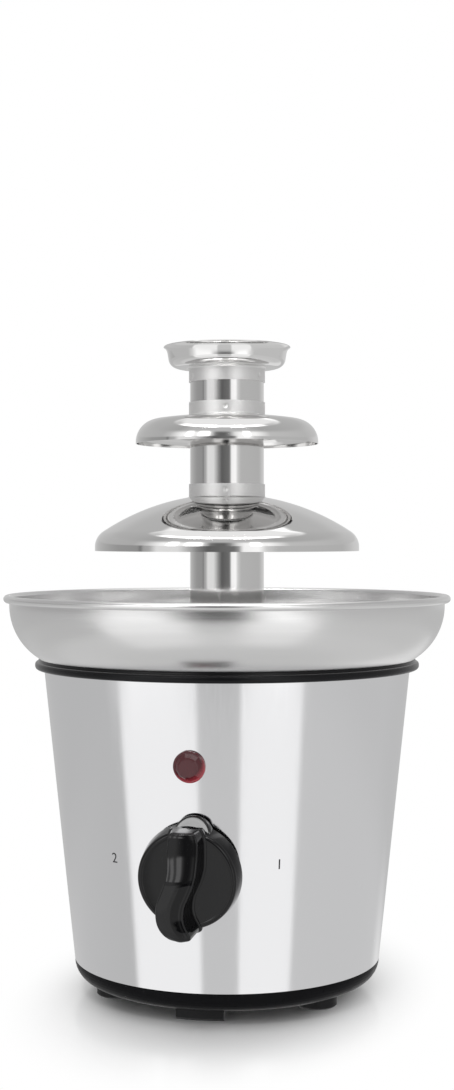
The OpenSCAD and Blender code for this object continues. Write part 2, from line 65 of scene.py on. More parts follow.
# Studio: a white table in a white room. Polished steel mirrors the room as upright
# white and grey bands, the way flat reflectors stand around a product table.
def add_node(tree, kind, sockets=None, **settings):
    """One shader node: settings are its options, and a socket takes a value or another node's output."""
    made = tree.nodes.new(kind)
    for key, value in settings.items():
        setattr(made, key, value)
    for key, value in (sockets or {}).items():
        if isinstance(value, bpy.types.NodeSocket):
            tree.links.new(value, made.inputs[key])
        else:
            made.inputs[key].default_value = value
    return made


# Each list is a height of the room, from the floor up: (bearing in degrees, grey level).
room_level = 0.82
under_colour = (0.66, 0.66, 0.66, 1)
floor_sheets = [(-180, 0.88), (-163, 0.88), (-150, 0.70), (-64, 0.68), (-54, 0.90), (-14, 0.90),
                (-2, 0.74), (14, 0.74), (26, 0.92), (54, 0.92), (66, 0.70), (150, 0.70), (163, 0.88),
                (180, 0.88)]
low_reflectors = [(-180, 0.84), (-163, 0.84), (-150, 0.62), (-122, 0.60), (-61.5, 0.57), (-58.5, 1.05),
                  (-9, 1.05), (-6.5, 0.66), (18.5, 0.66), (21, 1.05), (58, 1.05), (61, 0.67), (150, 0.66),
                  (163, 0.84), (180, 0.84)]
side_walls = [(-180, 0.54), (-120, 0.56), (-70, 0.57), (-60, 0.78), (-50, 1.20), (-22, 1.26), (-14, 0.70),
              (-4, 0.16), (2, 0.03), (16, 0.03), (21, 0.30), (28, 1.10), (36, 1.40), (48, 1.40),
              (56, 0.90), (66, 0.62), (130, 0.62), (180, 0.54)]
level_reflectors = [(-180, 0.68), (-160, 0.68), (-140, 0.56), (-97, 0.37), (-71, 0.34), (-68, 0.20),
                    (-65, 0.42), (-58, 0.50), (-51, 0.90), (-31, 0.88), (-22, 0.55), (-14, 0.28),
                    (-5, 0.13), (17, 0.19), (21, 0.35), (25, 1.12), (38, 1.20), (45, 0.75), (55, 0.56),
                    (130, 0.53), (155, 0.68), (180, 0.68)]
panels = [(-180, 0.62), (-150, 0.60), (-120, 0.54), (-78, 0.50), (-66, 0.62), (-47, 1.16), (-43, 1.16),
          (-41, 3.0), (-34, 3.0), (-32, 1.16), (-26, 1.16), (-24, 3.0), (-14, 3.0), (-9, 0.8), (-3, 0.22),
          (2, 0.15), (9, 0.15), (14, 0.3), (21, 0.9), (27, 1.16), (31, 1.16), (33, 3.0), (40, 3.0),
          (42, 1.16), (48, 1.16), (68, 0.62), (130, 0.56), (150, 0.60), (180, 0.62)]
upper_walls = [(-180, 0.56), (-100, 0.50), (-60, 0.44), (-40, 0.58), (40, 0.58), (60, 0.46), (180, 0.56)]
top_strip = [(-180, 1.7), (-165, 1.6), (-135, 0.95), (-105, 0.66), (-90, 0.66), (-55, 3.4), (-36, 3.4),
             (-32, 14.0), (-8, 14.0), (-4, 3.4), (16, 3.4), (20, 14.0), (40, 14.0), (44, 3.4), (55, 3.4),
             (90, 0.66), (105, 0.66), (135, 0.95), (165, 1.6), (180, 1.7)]
ceiling = [(-180, 1.0), (180, 1.0)]
world = bpy.data.worlds.new("studio")
world.use_nodes = True
world.cycles.sampling_method = "NONE"
scene.world = world
room = world.node_tree
room.nodes.clear()
ray = add_node(room, "ShaderNodeLightPath").outputs
direction = add_node(room, "ShaderNodeTexCoord").outputs["Generated"]
way = add_node(room, "ShaderNodeSeparateXYZ", {0: direction}).outputs
forward = add_node(room, "ShaderNodeMath", {0: way["Y"], 1: -1.0}, operation="MULTIPLY").outputs[0]
bearing = add_node(room, "ShaderNodeMath", {0: way["X"], 1: forward}, operation="ARCTAN2").outputs[0]
share = add_node(room, "ShaderNodeMapRange",
                 {"Value": bearing, "From Min": -math.pi, "From Max": math.pi}).outputs[0]


def band_ramp(reflectors):
    """Grey levels by bearing round the room, even between stops: degrees count from the front to +X."""
    made = add_node(room, "ShaderNodeValToRGB", {"Fac": share})
    stops = made.color_ramp.elements
    for place, (degrees, level) in enumerate(reflectors):
        at = (degrees + 180) / 360
        stop = stops[0] if place == 0 else stops[-1] if place == len(reflectors) - 1 else stops.new(at)
        stop.position = at
        stop.color = (level, level, level, 1)
    return made.outputs["Color"]


def above(low, high):
    """0 below one height on the room's unit sphere, 1 above another, smooth between them."""
    return add_node(room, "ShaderNodeMapRange", {"Value": way["Z"], "From Min": low, "From Max": high},
                    interpolation_type="SMOOTHSTEP").outputs[0]


mirror_colour = under_colour
for low, high, reflectors in (
        (-0.90, -0.78, floor_sheets), (-0.62, -0.50, low_reflectors), (-0.30, -0.22, side_walls),
        (-0.065, -0.045, level_reflectors), (0.12, 0.17, panels), (0.36, 0.58, upper_walls),
        (0.77, 0.81, top_strip), (0.83, 0.88, ceiling)):
    layers = {0: above(low, high), 1: mirror_colour, 2: band_ramp(reflectors)}
    mirror_colour = add_node(room, "ShaderNodeMixRGB", layers).outputs[0]
mirrored = add_node(room, "ShaderNodeBackground", {"Color": mirror_colour}).outputs[0]
lit = add_node(room, "ShaderNodeBackground", {"Color": (1, 1, 1, 1), "Strength": room_level}).outputs[0]
seen = add_node(room, "ShaderNodeBackground", {"Color": (1, 1, 1, 1)}).outputs[0]
bounced = add_node(room, "ShaderNodeMath", {0: ray["Is Glossy Ray"], 1: ray["Is Transmission Ray"]},
                   operation="MAXIMUM").outputs[0]
indoors = add_node(room, "ShaderNodeMixShader", {0: bounced, 1: lit, 2: mirrored}).outputs[0]
shown = add_node(room, "ShaderNodeMixShader", {0: ray["Is Camera Ray"], 1: indoors, 2: seen}).outputs[0]
add_node(room, "ShaderNodeOutputWorld", {"Surface": shown})


def finish_of(name, colour, roughness, metallic=0.0, **sockets):
    """A new material on the principled shader with the given constants on the shader's own sockets."""
    made = bpy.data.materials.new(name)
    made.use_nodes = True
    inputs = made.node_tree.nodes["Principled BSDF"].inputs
    inputs["Base Color"].default_value = (*colour, 1)
    inputs["Roughness"].default_value = roughness
    inputs["Metallic"].default_value = metallic
    for key, value in sockets.items():
        inputs[key.replace("_", " ")].default_value = value
    return made


def object_place(tree):
    """The place of a point in the object's own frame, in metres."""
    return add_node(tree, "ShaderNodeTexCoord").outputs["Object"]


table_half, table_height = 40.0, -0.0002
table_corners = [(x * table_half, y * table_half, table_height)
                 for x, y in ((-1, -1), (1, -1), (1, 1), (-1, 1))]
table_mesh = bpy.data.meshes.new("table")
table_mesh.from_pydata(table_corners, [], [(0, 1, 2, 3)])
table = bpy.data.objects.new("table", table_mesh)
scene.collection.objects.link(table)
table.visible_glossy = False
table_white = finish_of("table_white", (0.93, 0.93, 0.93), 0.16, Specular_IOR_Level=0.5)
shadow_near, shadow_far, shadow_squeeze = 0.072, 0.155, (1.6, 1, 1)
table_tree = table_white.node_tree
drawn = add_node(table_tree, "ShaderNodeVectorMath", {0: object_place(table_tree), 1: shadow_squeeze},
                 operation="MULTIPLY").outputs[0]
spread = add_node(table_tree, "ShaderNodeVectorMath", {0: drawn}, operation="LENGTH").outputs["Value"]
far = add_node(table_tree, "ShaderNodeMapRange",
               {"Value": spread, "From Min": shadow_near, "From Max": shadow_far},
               interpolation_type="SMOOTHSTEP").outputs[0]
in_view = add_node(table_tree, "ShaderNodeLightPath").outputs["Is Camera Ray"]
fade = add_node(table_tree, "ShaderNodeMath", {0: far, 1: in_view}, operation="MULTIPLY").outputs[0]
glow = add_node(table_tree, "ShaderNodeEmission", {"Color": (1, 1, 1, 1)}).outputs[0]
plain = table_tree.nodes["Principled BSDF"].outputs[0]
faded = add_node(table_tree, "ShaderNodeMixShader", {0: fade, 1: plain, 2: glow}).outputs[0]
table_tree.links.new(faded, table_tree.nodes["Material Output"].inputs["Surface"])
table_mesh.materials.append(table_white)

aim_height = 0.12
for name, place, size, power in (("overhead_box", (-0.12, 0.18, 1.25), (0.9, 0.55), 6.0),
                                 ("front_box", (-0.10, -0.62, 1.05), (0.30, 0.22), 1.2)):
    lamp = bpy.data.lights.new(name, "AREA")
    lamp.shape = "RECTANGLE"
    lamp.size, lamp.size_y = size
    lamp.energy = power
    box = bpy.data.objects.new(name, lamp)
    box.location = place
    box.visible_glossy = False
    aim = np.array((0.0, 0.0, aim_height)) - np.array(place)
    box.rotation_euler = (math.acos(-aim[2] / np.linalg.norm(aim)), 0.0, math.atan2(-aim[0], aim[1]))
    scene.collection.objects.link(box)


# Feet: three curved pads and three round feet of dark rubber, bonded under the pan;
# zinc-plated nuts inside the round feet hold the tie rods. Rods, clips and the other
# small fixings of steel are plated in the same way.
noise_low, noise_high = 0.3, 0.7


def noise_in(material, scale, stretch=(1, 1, 1), detail=3.0):
    """Noise over object coordinates: scale counts per metre, a small stretch draws it out on that axis."""
    tree = material.node_tree
    drawn = add_node(tree, "ShaderNodeMapping", {"Vector": object_place(tree), "Scale": stretch}).outputs[0]
    sockets = {"Vector": drawn, "Scale": scale, "Detail": detail}
    return add_node(tree, "ShaderNodeTexNoise", sockets).outputs["Fac"]


def vary(material, fac, socket, low, high):
    """Spreads a noise output over low to high on one of the shader's sockets: numbers, or two colours."""
    tree = material.node_tree
    shader = tree.nodes["Principled BSDF"].inputs
    if socket == "Base Color":
        ramp = add_node(tree, "ShaderNodeValToRGB", {"Fac": fac})
        for stop, at, colour in zip(ramp.color_ramp.elements, (noise_low, noise_high), (low, high)):
            stop.position = at
            stop.color = (*colour, 1)
        tree.links.new(ramp.outputs["Color"], shader[socket])
    else:
        ends = {"From Min": noise_low, "From Max": noise_high, "To Min": low, "To Max": high}
        spread = add_node(tree, "ShaderNodeMapRange", {"Value": fac, **ends})
        tree.links.new(spread.outputs[0], shader[socket])


def emboss(material, fac, depth, strength):
    """Raises the surface by depth metres where the noise is high, on top of any relief already there."""
    tree = material.node_tree
    normal = tree.nodes["Principled BSDF"].inputs["Normal"]
    sockets = {"Height": fac, "Distance": depth, "Strength": strength}
    if normal.links:
        sockets["Normal"] = normal.links[0].from_socket
    tree.links.new(add_node(tree, "ShaderNodeBump", sockets).outputs[0], normal)


def coat_node(material, *names):
    """Gives a CAD node that stays in view its finish."""
    for name in names:
        for place in nodes[name].material_slots:
            place.material = material


foot_rubber = finish_of("foot_rubber", (0.010, 0.010, 0.011), 0.50, Specular_IOR_Level=0.2)
vary(foot_rubber, noise_in(foot_rubber, 900), "Roughness", 0.42, 0.60)
emboss(foot_rubber, noise_in(foot_rubber, 2600), 0.00006, 0.5)
coat_node(foot_rubber, "arc_feet", "round_feet")

zinc_plate = finish_of("zinc_plate", (0.62, 0.63, 0.62), 0.34, 1.0)
vary(zinc_plate, noise_in(zinc_plate, 420), "Base Color", (0.50, 0.51, 0.50), (0.70, 0.71, 0.69))
vary(zinc_plate, noise_in(zinc_plate, 1500), "Roughness", 0.26, 0.44)
coat_node(zinc_plate, "tie_rod_nuts", "tie_rods", "bush_nut", "clamp_nuts", "plate_nuts", "motor_screws",
          "block_screws", "switch_nut", "lamp_clip", "heater_clamp", "motor_plate")

# Bottom pan: black moulding with vent slots, its rounded edge showing under the shell.
# The shell stands on its rim, and the tie rods pass through its floor.
pan_plastic = finish_of("pan_plastic", (0.008, 0.008, 0.009), 0.30, Specular_IOR_Level=0.03)
vary(pan_plastic, noise_in(pan_plastic, 300), "Roughness", 0.26, 0.36)
emboss(pan_plastic, noise_in(pan_plastic, 1800), 0.00003, 0.4)
coat_node(pan_plastic, "bottom_pan")


# Housing shell: a cone rolled from polished stainless sheet, its seam ground flush,
# and gripped between the pan and the collar by the tie rods.
MM = 0.001


def outline_of(*stretches):
    """One outline in the (radius, height) plane from stretches of points laid end to end."""
    return np.concatenate([np.atleast_2d(np.asarray(s, float)) for s in stretches])


def turned(outline, turns=288):
    """Grid of a surface of revolution: point (r, z) turned by a lies at (r sin a, -r cos a, z)."""
    r, z = np.asarray(outline, float).T
    a = np.linspace(0, 2 * np.pi, turns, endpoint=False)[:, None]
    return np.stack([r * np.sin(a), -r * np.cos(a), z + 0 * a], -1), True, True


def skin(name, *grids, sharp=38.0, caps=False):
    """A mesh piece from grids of points in millimetres: each cell joins a point to its next neighbours, and
    a round direction joins its last row to its first. Doubles are merged and faces turned outwards."""
    points, faces, start = [], [], 0
    for grid, round_u, round_v in grids:
        m, n = grid.shape[:2]
        i = np.arange(m if round_u else m - 1)[:, None]
        j = np.arange(n if round_v else n - 1)[None, :]
        i2, j2 = (i + 1) % m, (j + 1) % n
        cells = np.broadcast_arrays(i * n + j, i2 * n + j, i2 * n + j2, i * n + j2)
        faces.append(start + np.stack(cells, -1).reshape(-1, 4))
        points.append(grid.reshape(-1, 3))
        start += m * n
    mesh = bpy.data.meshes.new(name)
    mesh.from_pydata((np.concatenate(points) * MM).tolist(), [], np.concatenate(faces).tolist())
    work = bmesh.new()
    work.from_mesh(mesh)
    bmesh.ops.remove_doubles(work, verts=work.verts, dist=1e-7)
    bmesh.ops.dissolve_degenerate(work, edges=work.edges, dist=1e-7)
    if caps:
        bmesh.ops.holes_fill(work, edges=work.edges, sides=0)
    bmesh.ops.recalc_face_normals(work, faces=work.faces)
    work.to_mesh(mesh)
    work.free()
    mesh.shade_smooth()
    mesh.set_sharp_from_angle(angle=math.radians(sharp))
    piece = bpy.data.objects.new(name, mesh)
    scene.collection.objects.link(piece)
    return piece


def dress(piece, material, body, slot, *stands_for):
    """Finishes a piece: its material, the body it moves with and the CAD nodes it stands for. The slot is
    not used.
    """
    piece.data.materials.append(material)
    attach(piece, body)
    if stands_for:
        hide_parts(*stands_for)


shell_low_r, shell_low_z, shell_top_r, shell_top_z, shell_sheet = 68.2, 13.6, 81.992, 143.2, 0.7
shell_lean = (shell_top_r - shell_low_r) / (shell_top_z - shell_low_z)
shell_tilt = math.atan(shell_lean)


def shell_r(z):
    """Radius of the shell's outside at a height: it grows evenly from the lower edge to the upper one."""
    return shell_low_r + (z - shell_low_z) * shell_lean


heights = np.linspace(shell_low_z + 0.3, shell_top_z, 40)
polished_steel = finish_of("polished_steel", (0.80, 0.80, 0.81), 0.10, 1.0)
vary(polished_steel, noise_in(polished_steel, 900, (1, 1, 0.02)), "Roughness", 0.075, 0.125)
emboss(polished_steel, noise_in(polished_steel, 2400, (1, 1, 0.012), 2.0), 0.000004, 0.5)
shell = skin("housing_shell_rolled", turned(outline_of(
    [(shell_low_r - shell_sheet, shell_low_z)], [(shell_low_r - 0.4, shell_low_z)],
    np.stack([shell_r(heights), heights], -1),
    [(shell_top_r - shell_sheet, shell_top_z)],
    np.stack([shell_r(heights[::-4]) - shell_sheet, heights[::-4]], -1))))
dress(shell, polished_steel, "base", "polished_steel", "housing_shell")


# Dial marks: plain numerals in dark ink printed on the shell on either side of the knob,
# for the two positions of the switch.
def on_shell(x, y, lift, bearing, z):
    """A flat mark wrapped on the cone: x runs round from a bearing, y up the slope, lift stands off it."""
    height = z + y * math.cos(shell_tilt)
    r = shell_r(height) + lift
    a = math.radians(bearing) + x / shell_r(z)
    return np.stack([r * np.sin(a), -r * np.cos(a), height], -1)


mark_z, mark_bearing, mark_size, ink_half, ink_lift = 67.5, 28.0, 6.0, 0.02, 0.03
mark_ink = finish_of("mark_ink", (0.022, 0.022, 0.024), 0.45)
vary(mark_ink, noise_in(mark_ink, 1600), "Base Color", (0.014, 0.014, 0.016), (0.034, 0.034, 0.036))
for numeral, bearing in (("1", mark_bearing), ("2", -mark_bearing)):
    font = bpy.data.curves.new("numeral", "FONT")
    font.body = numeral
    font.align_x, font.align_y = "CENTER", "CENTER"
    font.size = mark_size
    font.extrude = ink_half
    letter = bpy.data.objects.new("numeral", font)
    scene.collection.objects.link(letter)
    bpy.context.view_layer.update()
    mark_mesh = bpy.data.meshes.new_from_object(letter.evaluated_get(bpy.context.evaluated_depsgraph_get()))
    bpy.data.objects.remove(letter)
    flat = np.empty(len(mark_mesh.vertices) * 3)
    mark_mesh.vertices.foreach_get("co", flat)
    flat = flat.reshape(-1, 3)
    placed = on_shell(flat[:, 0], flat[:, 1], ink_lift + flat[:, 2], bearing, mark_z) * MM
    mark_mesh.vertices.foreach_set("co", placed.ravel())
    mark_mesh.materials.clear()
    mark_mesh.update()
    mark = bpy.data.objects.new("dial_mark_" + numeral, mark_mesh)
    scene.collection.objects.link(mark)
    dress(mark, mark_ink, "base", "dark_plastic")


# Collar ring: black moulding between the shell and the bowl. Its skirt drops inside the shell,
# and a curved seat on top carries the bowl.
def bend(centre_r, centre_z, radius, start, end, count):
    """Points of an arc about a centre in the (radius, height) plane, between two angles in degrees."""
    a = np.radians(np.linspace(start, end, count))
    return np.stack([centre_r + radius * np.cos(a), centre_z + radius * np.sin(a)], -1)


collar_r, collar_z, seat_centre, seat_r = 84.992, shell_top_z - 0.6, (69.7, 171.0), 27.75
seat = bend(*seat_centre, seat_r, -59, -76, 14)
collar_plastic = finish_of("collar_plastic", (0.006, 0.006, 0.007), 0.24, Specular_IOR_Level=0.18)
vary(collar_plastic, noise_in(collar_plastic, 60), "Roughness", 0.20, 0.27)
skirt_depth, skirt_wall, skirt_gap, ledge_gap = 8.0, 1.6, 0.15, 0.1
skirt_z = shell_top_z - skirt_depth
skirt_r = shell_r(skirt_z) - shell_sheet - skirt_gap
skirt_inner, ledge_r = skirt_r - skirt_wall, shell_top_r + ledge_gap
collar = skin("collar_moulding", turned(outline_of(
    [(skirt_r, skirt_z), (skirt_r, shell_top_z), (ledge_r, shell_top_z), (ledge_r, collar_z)],
    bend(collar_r - 0.4, collar_z + 1.4, 1.4, -90, 0, 9),
    bend(collar_r - 0.1, collar_z + 2.1, 1.1, 0, 75, 7),
    [(collar_r - 0.5, collar_z + 3.2), (collar_r - 0.5, collar_z + 4.0), (collar_r - 0.75, collar_z + 4.4)],
    seat,
    [(seat[-1, 0], collar_z), (skirt_inner, collar_z - skirt_wall), (skirt_inner, skirt_z)])))
collar.visible_glossy = False
dress(collar, collar_plastic, "base", "collar_plastic", "collar_ring")


# Bowl: pressed from stainless sheet and finished by spinning, which leaves fine rings;
# the rim is curled outwards into a bead.
def axis_distance(tree):
    """Distance of a point from the upright axis: the length of its place with the height left out."""
    flat = add_node(tree, "ShaderNodeVectorMath", {0: object_place(tree), 1: (1, 1, 0)},
                    operation="MULTIPLY").outputs[0]
    return add_node(tree, "ShaderNodeVectorMath", {0: flat}, operation="LENGTH").outputs["Value"]


def spin_noise_in(material, scale, detail=2.0):
    """Noise that changes only with the distance from the axis and the height, as marks of spinning do."""
    tree = material.node_tree
    height = add_node(tree, "ShaderNodeSeparateXYZ", {0: object_place(tree)}).outputs["Z"]
    both = add_node(tree, "ShaderNodeCombineXYZ", {"X": axis_distance(tree), "Y": height}).outputs[0]
    sockets = {"Vector": both, "Scale": scale, "Detail": detail}
    return add_node(tree, "ShaderNodeTexNoise", sockets).outputs["Fac"]


bowl_side, bowl_sheet, bowl_floor, bead_r, bead_z, bush_hole_r = 27.7, 0.7, 144.0, 1.65, 173.8, 7.04
floor_r = seat_centre[0]
bowl_r = floor_r + bowl_side
bead_centre = (bowl_r - bowl_sheet + bead_r, bead_z)
bead_close = 360 - math.degrees(math.acos((bowl_r - bead_centre[0]) / bead_r))
spun_steel = finish_of("spun_steel", (0.76, 0.757, 0.755), 0.24, 1.0)
vary(spun_steel, spin_noise_in(spun_steel, 900, 1.0), "Roughness", 0.21, 0.27)
emboss(spun_steel, spin_noise_in(spun_steel, 1300, 1.0), 0.000003, 0.3)
bowl = skin("bowl_spun", turned(outline_of(
    np.stack([np.linspace(bush_hole_r, floor_r, 30), np.full(30, bowl_floor)], -1),
    bend(*seat_centre, bowl_side - bowl_sheet, -90, 0, 40)[1:],
    bend(*bead_centre, bead_r, 180, bead_close - 360, 40),
    bend(*seat_centre, bowl_side, 0, -90, 40),
    np.stack([np.linspace(floor_r, bush_hole_r, 8), np.full(8, bowl_floor - bowl_sheet)], -1)[1:])))
dress(bowl, spun_steel, "base", "satin_steel", "bowl")

# Fittings in the bowl's floor: turned pins for the tower, the shaft and its bush with a seal.
# The pins are studs with a nut below; the bush is clamped through the floor. The switch's
# spindle is of the shaft's steel, and the cord gland at the back of the seal's rubber.
pin_steel = finish_of("pin_steel", (0.72, 0.72, 0.72), 0.22, 1.0)
vary(pin_steel, noise_in(pin_steel, 1800, (0.15, 0.15, 1)), "Roughness", 0.16, 0.30)
coat_node(pin_steel, "locating_pins")
bush_brass = finish_of("bush_brass", (0.71, 0.53, 0.24), 0.28, 1.0)
vary(bush_brass, spin_noise_in(bush_brass, 2200), "Roughness", 0.2, 0.36)
coat_node(bush_brass, "shaft_bush")
shaft_steel = finish_of("shaft_steel", (0.70, 0.69, 0.67), 0.24, 1.0)
vary(shaft_steel, spin_noise_in(shaft_steel, 2200), "Roughness", 0.18, 0.32)
coat_node(shaft_steel, "drive_shaft", "switch_spindle")
seal_rubber = finish_of("seal_rubber", (0.02, 0.02, 0.021), 0.7)
vary(seal_rubber, noise_in(seal_rubber, 1500), "Roughness", 0.6, 0.8)
coat_node(seal_rubber, "shaft_seal", "cord_gland")

# Works inside the housing: heater under the bowl, geared motor on its plate, switch and terminals.
# None of it shows from outside; each keeps its CAD shape with its own finish.
heater_steel = finish_of("heater_steel", (0.42, 0.40, 0.38), 0.45, 1.0)
vary(heater_steel, noise_in(heater_steel, 500), "Base Color", (0.34, 0.30, 0.26), (0.5, 0.48, 0.46))
coat_node(heater_steel, "heater_tube")
cast_aluminium = finish_of("cast_aluminium", (0.60, 0.60, 0.61), 0.5, 1.0)
vary(cast_aluminium, noise_in(cast_aluminium, 700), "Roughness", 0.42, 0.6)
emboss(cast_aluminium, noise_in(cast_aluminium, 900), 0.0001, 0.5)
coat_node(cast_aluminium, "heater_plate")
dull_steel = finish_of("dull_steel", (0.5, 0.5, 0.5), 0.4, 1.0)
vary(dull_steel, noise_in(dull_steel, 350), "Roughness", 0.3, 0.5)
coat_node(dull_steel, "motor_can", "thermostat")
pale_plastic = finish_of("pale_plastic", (0.80, 0.79, 0.74), 0.45)
vary(pale_plastic, noise_in(pale_plastic, 400), "Base Color", (0.76, 0.75, 0.69), (0.83, 0.82, 0.78))
coat_node(pale_plastic, "terminal_block", "lamp_holder", "thermal_fuse")
switch_plastic = finish_of("switch_plastic", (0.03, 0.03, 0.032), 0.4)
vary(switch_plastic, noise_in(switch_plastic, 500), "Roughness", 0.34, 0.5)
coat_node(switch_plastic, "rotary_switch", "gearbox_case")


# Pilot lamp: dark red lens with a faceted front, pushed through the shell and clipped behind.
# Its flat table catches the room. Its colour is painted light: dark about a point above the centre, with a
# painted red glow along its lower edge.
def on_wall(local, z):
    """Points given from a height on the shell's front, x to the right, y up the slope and z straight out of
    the sheet, set in the object's frame."""
    x, y, out = local[..., 0], local[..., 1], local[..., 2]
    reach = shell_r(z) + out * math.cos(shell_tilt) + y * math.sin(shell_tilt)
    height = z + y * math.cos(shell_tilt) - out * math.sin(shell_tilt)
    return np.stack([x, -reach, height], -1)


lamp_z, lens_r, half_facet = 108.4, 6.65, np.pi / 12


def lens_front():
    """Rings of (radius, rise, cut): a ring with cut 0 is round, one with cut 1 has twelve equal sides."""
    r, rise, cut = np.array([
        (lens_r, 0.0, 0), (lens_r, 0.9, 0), (lens_r - 0.12, 1.2, 0), (lens_r - 0.45, 1.4, 0),
        (lens_r - 0.75, 1.4, 0), (lens_r - 0.85, 1.35, 1), (lens_r * 0.66, 2.9, 1),
        (lens_r * 0.58, 3.25, 1), (0.0, 3.4, 1)]).T
    a = np.linspace(0, 2 * np.pi, 96, endpoint=False)[:, None]
    flat = np.cos(half_facet) / np.cos((a + half_facet) % (2 * half_facet) - half_facet)
    r = r * (1 - cut + cut * flat)
    return on_wall(np.stack([r * np.sin(a), r * np.cos(a), rise + 0 * a], -1), lamp_z), True, False


red_lens = finish_of("red_lens", (0.08, 0.012, 0.018), 0.08, Specular_IOR_Level=0.5)
# Painted glow: the lens's base colour turns from dark to bright red with distance from a painted-shade
# point above its centre.
painted_glow_start, painted_glow_full, painted_glow_least = 6.2 * MM, 8.2 * MM, 0.02
lens_tree = red_lens.node_tree
lens_painted_shade_centre = on_wall(np.array([-1.0, 2.2, 1.5]), lamp_z) * MM
lens_away = add_node(lens_tree, "ShaderNodeVectorMath", {0: object_place(lens_tree), 1: tuple(lens_painted_shade_centre)},
                     operation="DISTANCE").outputs["Value"]
lens_painted_glow = add_node(lens_tree, "ShaderNodeMapRange",
                     {"Value": lens_away, "From Min": painted_glow_start, "From Max": painted_glow_full,
                      "To Min": noise_low + painted_glow_least, "To Max": noise_high + painted_glow_least}).outputs[0]
vary(red_lens, lens_painted_glow, "Base Color", (0.062, 0.010, 0.014), (0.34, 0.034, 0.048))
vary(red_lens, noise_in(red_lens, 500), "Roughness", 0.06, 0.11)
lens = skin("lamp_lens_cut", lens_front(), sharp=8.0, caps=True)
dress(lens, red_lens, "base", "red_lens", "lamp_lens")


# Control knob: one glossy black moulding on the switch's spindle. A disc with a pointer tab
# at the top, and a bent grip that climbs to its lower end. The disc's flank has its reflection turned down,
# painted shade that keeps it dark.
knob_z, knob_back, knob_face, knob_r, knob_rim, knob_edge = 64.5, 1.2, 10.4, 21.25, 20.4, 1.6


def knob_round(outline):
    """A body turned about the knob's axis, which stands straight out of the shell."""
    r, out = np.asarray(outline, float).T
    a = np.linspace(0, 2 * np.pi, 128, endpoint=False)[:, None]
    return on_wall(np.stack([r * np.sin(a), r * np.cos(a), out + 0 * a], -1), knob_z), True, True


def knob_tab():
    """A round pad behind the top of the disc: its face falls evenly from under the disc back to the shell,
    over a rounded edge and a short upright wall."""
    tab_x, tab_y, tab_r, fall, brow_y, brow_out = 1.7, 16.6, 8.0, 0.81, 16.0, 8.85
    a = np.linspace(0, 2 * np.pi, 96, endpoint=False)[:, None]
    r = np.array([[0, 3.0, 6.0, tab_r - 0.8, tab_r - 0.4, tab_r - 0.1, tab_r, tab_r, tab_r - 0.2, 0]])
    drop = np.array([[0, 0, 0, 0, 0.05, 0.2, 0.5]])
    x, y = tab_x + r * np.sin(a), tab_y + r * np.cos(a)
    face = np.minimum(brow_out, brow_out - fall * (y[:, :7] - brow_y)) - drop
    back = np.broadcast_to([[knob_back + 0.2, knob_back, knob_back]], (len(a), 3))
    return on_wall(np.stack([x, y, np.concatenate([face, back], 1)], -1), knob_z), True, True


def curve_through(stations, at):
    """Cubic curves through rows of (place, values): the slope at a row comes from the rows beside it."""
    place, values = stations[:, 0], stations[:, 1:]
    slope = np.gradient(values, place, axis=0)
    i = np.clip(np.searchsorted(place, at) - 1, 0, len(place) - 2)
    gap = (place[i + 1] - place[i])[:, None]
    t = (at - place[i])[:, None] / gap
    return ((1 + 2 * t) * (1 - t) ** 2 * values[i] + t * (1 - t) ** 2 * gap * slope[i]
            + t ** 2 * (3 - 2 * t) * values[i + 1] + t ** 2 * (t - 1) * gap * slope[i + 1])


def knob_grip():
    """Cross-sections down the grip between a left and a right edge that bend to one side: low crown,
    rounded shoulders, drafted walls and a foot that flares into the disc; the crowned top climbs, then
    runs level. A station is (place up the slope, left edge, right edge, height over the disc)."""
    stations = np.array([
        (-21.5, -1.5, 1.1, 11.0), (-21.3, -2.6, 2.0, 11.6), (-20.8, -4.0, 3.2, 12.3),
        (-19.5, -6.1, 3.9, 13.0), (-17.5, -8.0, 3.2, 13.4), (-15, -9.4, 1.9, 13.45),
        (-12, -10.1, 1.1, 13.3), (-9, -10.1, 1.2, 13.15), (-6, -9.6, 1.9, 12.95), (-3, -8.4, 3.3, 12.75),
        (0, -7.1, 4.6, 12.55), (2, -6.5, 5.3, 12.35), (3.5, -6.2, 5.7, 12.0), (5, -6.0, 6.1, 11.4),
        (7, -5.9, 6.3, 10.55), (9, -6.0, 6.4, 9.75), (11, -6.1, 6.5, 9.05), (13, -6.1, 6.5, 8.45),
        (15, -5.9, 6.5, 7.95), (18, -5.7, 6.2, 7.3), (20, -5.3, 5.5, 6.8), (20.9, -4.8, 4.9, 6.4),
        (21.2, -4.4, 4.4, 5.9), (21.3, -4.1, 4.0, 5.3)])
    y = np.interp(np.linspace(0, 1, 161), np.linspace(0, 1, len(stations)), stations[:, 0])
    left, right, top = np.moveaxis(curve_through(stations, y), 1, 0)[:, :, None]
    shoulder, foot, crown, lift, sink = 0.75, 1.2, 0.9, 0.35, 2.6
    rise = top + lift - crown
    across = np.linspace(-1, 1, 15)[None, 1:-1]
    top_x = (left + right) / 2 + ((right - left) / 2 - shoulder) * across
    top_z = rise + crown * (1 - across ** 2)
    t = np.radians(np.linspace(0, 90, 7))[None, :]

    def side(edge, draft, sign):
        """Half of a section: over the shoulder, then down the wall and out along the foot."""
        over_x, over_z = edge - sign * shoulder * (1 - np.sin(t)), rise - shoulder * (1 - np.cos(t))
        down_x, down_z = edge + sign * (draft + foot * (1 - np.cos(t))), foot * (1 - np.sin(t)) + 0 * rise
        x = np.concatenate([over_x, down_x, down_x[:, -1:]], 1)
        z = np.concatenate([over_z, down_z, down_z[:, -1:] - sink], 1)
        return x, z

    (left_x, left_z), (right_x, right_z) = side(left, 0.4, -1), side(right, 0.9, 1)
    x = np.concatenate([left_x[:, ::-1], top_x, right_x], 1)
    z = np.concatenate([left_z[:, ::-1], top_z, right_z], 1)
    return on_wall(np.stack([x, y[:, None] + 0 * x, knob_face + z], -1), knob_z), False, True


